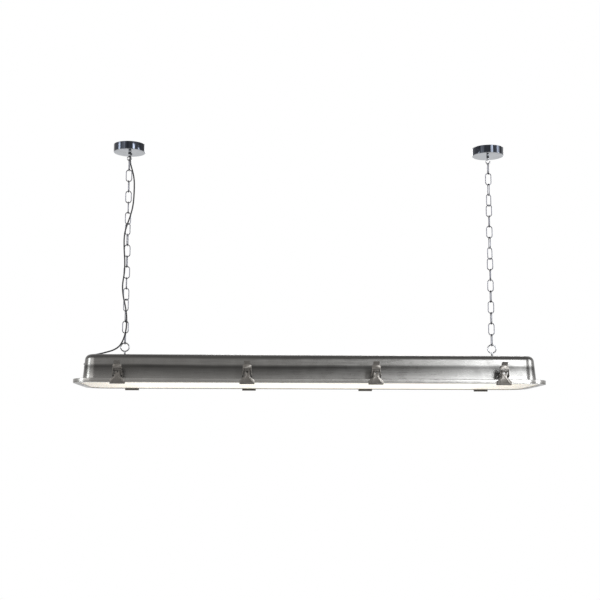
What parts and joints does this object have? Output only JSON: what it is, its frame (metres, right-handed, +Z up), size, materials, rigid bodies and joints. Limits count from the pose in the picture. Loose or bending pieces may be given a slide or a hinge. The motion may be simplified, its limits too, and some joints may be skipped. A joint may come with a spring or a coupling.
{
  "type": "chain-hung shop light",
  "caption": "Long pressed steel trough light with an opal lens, toggle latches along both sides, hung level on link chains from round ceiling canopies, with a black cord.",
  "frame": {"origin": "on the ceiling plane, midway between the two chains", "axes": "+X along the lamp to its right end, -Y towards its front, +Z up into the ceiling"},
  "size_m": [1.42, 0.4046, 0.7697],
  "materials": {
    "brushed_nickel": "brushed along the lamp, satin",
    "polished_nickel": "polished",
    "chain_nickel": "bright plated wire",
    "latch_steel": "bright stamped sheet",
    "zinc_steel": "zinc plated",
    "opal_lens": "opal, lit from inside",
    "tray_white": "white gloss paint",
    "cord_black": "black, matte",
    "gland_black": "black, satin",
    "gasket_foam": "closed-cell foam",
    "tube_glass": "opal coated",
    "cap_aluminium": "satin",
    "fitting_white": "moulded"
  },
  "bodies": {
    "ceiling_root": {"canopies": "polished_nickel", "ceiling_straps": "zinc_steel", "ceiling_hooks": "polished_nickel", "hook_nuts": "zinc_steel", "ceiling_terminal_block": "fitting_white", "cord_bush": "gland_black", "power_cord": "cord_black"},
    "top_link_left": {"top_link_left": "chain_nickel"},
    "chain_left": {"chain_left": "chain_nickel"},
    "bottom_link_left": {"bottom_link_left": "chain_nickel"},
    "top_link_right": {"top_link_right": "chain_nickel"},
    "chain_right": {"chain_right": "chain_nickel"},
    "bottom_link_right": {"bottom_link_right": "chain_nickel"},
    "housing": {"casing": "brushed_nickel", "eye_bolts": "polished_nickel", "eye_bolt_nuts": "zinc_steel", "end_gland": "gland_black", "end_gland_nut": "gland_black", "end_gland_locknut": "gland_black", "gasket": "gasket_foam", "lens_frame": "brushed_nickel", "lens": "opal_lens", "gear_tray": "tray_white", "tray_spacers": "zinc_steel", "inner_terminal_block": "fitting_white", "lampholders": "fitting_white", "latch_brackets": "latch_steel"},
    "tube_front": {"tube_front_glass": "tube_glass", "tube_front_caps": "cap_aluminium"},
    "tube_rear": {"tube_rear_glass": "tube_glass", "tube_rear_caps": "cap_aluminium"},
    "latch_lever_front_1": {"latch_lever_front_1": "latch_steel"},
    "latch_claw_front_1": {"latch_claw_front_1": "latch_steel"},
    "latch_lever_front_2": {"latch_lever_front_2": "latch_steel"},
    "latch_claw_front_2": {"latch_claw_front_2": "latch_steel"},
    "latch_lever_front_3": {"latch_lever_front_3": "latch_steel"},
    "latch_claw_front_3": {"latch_claw_front_3": "latch_steel"},
    "latch_lever_front_4": {"latch_lever_front_4": "latch_steel"},
    "latch_claw_front_4": {"latch_claw_front_4": "latch_steel"},
    "latch_lever_rear_1": {"latch_lever_rear_1": "latch_steel"},
    "latch_claw_rear_1": {"latch_claw_rear_1": "latch_steel"},
    "latch_lever_rear_2": {"latch_lever_rear_2": "latch_steel"},
    "latch_claw_rear_2": {"latch_claw_rear_2": "latch_steel"},
    "latch_lever_rear_3": {"latch_lever_rear_3": "latch_steel"},
    "latch_claw_rear_3": {"latch_claw_rear_3": "latch_steel"},
    "latch_lever_rear_4": {"latch_lever_rear_4": "latch_steel"},
    "latch_claw_rear_4": {"latch_claw_rear_4": "latch_steel"}
  },
  "joints": [
    {"name": "swing_across", "type": "hinge", "parent": "ceiling_root", "child": "top_link_left", "pos_m": [-0.573, 0, -0.05025], "axis": [1, 0, 0], "range_deg": [-20, 20], "deforming": ["power_cord"]},
    {"name": "swing_along", "type": "hinge", "parent": "top_link_left", "child": "chain_left", "pos_m": [-0.573, 0, -0.0845], "axis": [0, 1, 0], "range_deg": [-20, 20], "deforming": ["power_cord"]},
    {"name": "level_left", "type": "hinge", "parent": "chain_left", "child": "bottom_link_left", "pos_m": [-0.573, 0, -0.5987], "axis": [0, 1, 0], "range_deg": [-20, 20], "deforming": ["power_cord"]},
    {"name": "lamp_tilt", "type": "hinge", "parent": "bottom_link_left", "child": "housing", "pos_m": [-0.573, 0, -0.6327], "axis": [1, 0, 0], "range_deg": [-20, 20], "deforming": ["power_cord"]},
    {"name": "swing_across_right", "type": "hinge", "parent": "ceiling_root", "child": "top_link_right", "pos_m": [0.573, 0, -0.05025], "axis": [1, 0, 0], "range_deg": [-20, 20]},
    {"name": "swing_along_right", "type": "hinge", "parent": "top_link_right", "child": "chain_right", "pos_m": [0.573, 0, -0.0845], "axis": [0, 1, 0], "range_deg": [-20, 20]},
    {"name": "level_right", "type": "hinge", "parent": "chain_right", "child": "bottom_link_right", "pos_m": [0.573, 0, -0.5987], "axis": [0, 1, 0], "range_deg": [-20, 20]},
    {"name": "tube_front_turn", "type": "hinge", "parent": "housing", "child": "tube_front", "pos_m": [0, -0.06, -0.7267], "axis": [1, 0, 0], "range_deg": [0, 90]},
    {"name": "tube_rear_turn", "type": "hinge", "parent": "housing", "child": "tube_rear", "pos_m": [0, 0.06, -0.7267], "axis": [1, 0, 0], "range_deg": [0, 90]},
    {"name": "lever_front_1", "type": "hinge", "parent": "housing", "child": "latch_lever_front_1", "pos_m": [-0.57, -0.186, -0.7407], "axis": [1, 0, 0], "range_deg": [0, 100]},
    {"name": "claw_front_1", "type": "hinge", "parent": "latch_lever_front_1", "child": "latch_claw_front_1", "pos_m": [-0.57, -0.1845, -0.7288], "axis": [1, 0, 0], "range_deg": [-100, 0]},
    {"name": "lever_front_2", "type": "hinge", "parent": "housing", "child": "latch_lever_front_2", "pos_m": [-0.19, -0.186, -0.7407], "axis": [1, 0, 0], "range_deg": [0, 100]},
    {"name": "claw_front_2", "type": "hinge", "parent": "latch_lever_front_2", "child": "latch_claw_front_2", "pos_m": [-0.19, -0.1845, -0.7288], "axis": [1, 0, 0], "range_deg": [-100, 0]},
    {"name": "lever_front_3", "type": "hinge", "parent": "housing", "child": "latch_lever_front_3", "pos_m": [0.19, -0.186, -0.7407], "axis": [1, 0, 0], "range_deg": [0, 100]},
    {"name": "claw_front_3", "type": "hinge", "parent": "latch_lever_front_3", "child": "latch_claw_front_3", "pos_m": [0.19, -0.1845, -0.7288], "axis": [1, 0, 0], "range_deg": [-100, 0]},
    {"name": "lever_front_4", "type": "hinge", "parent": "housing", "child": "latch_lever_front_4", "pos_m": [0.57, -0.186, -0.7407], "axis": [1, 0, 0], "range_deg": [0, 100]},
    {"name": "claw_front_4", "type": "hinge", "parent": "latch_lever_front_4", "child": "latch_claw_front_4", "pos_m": [0.57, -0.1845, -0.7288], "axis": [1, 0, 0], "range_deg": [-100, 0]},
    {"name": "lever_rear_1", "type": "hinge", "parent": "housing", "child": "latch_lever_rear_1", "pos_m": [-0.57, 0.186, -0.7407], "axis": [-1, 0, 0], "range_deg": [0, 100]},
    {"name": "claw_rear_1", "type": "hinge", "parent": "latch_lever_rear_1", "child": "latch_claw_rear_1", "pos_m": [-0.57, 0.1845, -0.7288], "axis": [-1, 0, 0], "range_deg": [-100, 0]},
    {"name": "lever_rear_2", "type": "hinge", "parent": "housing", "child": "latch_lever_rear_2", "pos_m": [-0.19, 0.186, -0.7407], "axis": [-1, 0, 0], "range_deg": [0, 100]},
    {"name": "claw_rear_2", "type": "hinge", "parent": "latch_lever_rear_2", "child": "latch_claw_rear_2", "pos_m": [-0.19, 0.1845, -0.7288], "axis": [-1, 0, 0], "range_deg": [-100, 0]},
    {"name": "lever_rear_3", "type": "hinge", "parent": "housing", "child": "latch_lever_rear_3", "pos_m": [0.19, 0.186, -0.7407], "axis": [-1, 0, 0], "range_deg": [0, 100]},
    {"name": "claw_rear_3", "type": "hinge", "parent": "latch_lever_rear_3", "child": "latch_claw_rear_3", "pos_m": [0.19, 0.1845, -0.7288], "axis": [-1, 0, 0], "range_deg": [-100, 0]},
    {"name": "lever_rear_4", "type": "hinge", "parent": "housing", "child": "latch_lever_rear_4", "pos_m": [0.57, 0.186, -0.7407], "axis": [-1, 0, 0], "range_deg": [0, 100]},
    {"name": "claw_rear_4", "type": "hinge", "parent": "latch_lever_rear_4", "child": "latch_claw_rear_4", "pos_m": [0.57, 0.1845, -0.7288], "axis": [-1, 0, 0], "range_deg": [-100, 0]}
  ],
  "couplings": [
    {"joint": "swing_across_right", "follows": "swing_across", "ratio": 1},
    {"joint": "swing_along_right", "follows": "swing_along", "ratio": 1},
    {"joint": "level_left", "follows": "swing_along", "ratio": -1},
    {"joint": "level_right", "follows": "swing_along", "ratio": -1},
    {"joint": "claw_front_1", "follows": "lever_front_1", "ratio": -1},
    {"joint": "claw_front_2", "follows": "lever_front_2", "ratio": -1},
    {"joint": "claw_front_3", "follows": "lever_front_3", "ratio": -1},
    {"joint": "claw_front_4", "follows": "lever_front_4", "ratio": -1},
    {"joint": "claw_rear_1", "follows": "lever_rear_1", "ratio": -1},
    {"joint": "claw_rear_2", "follows": "lever_rear_2", "ratio": -1},
    {"joint": "claw_rear_3", "follows": "lever_rear_3", "ratio": -1},
    {"joint": "claw_rear_4", "follows": "lever_rear_4", "ratio": -1}
  ]
}
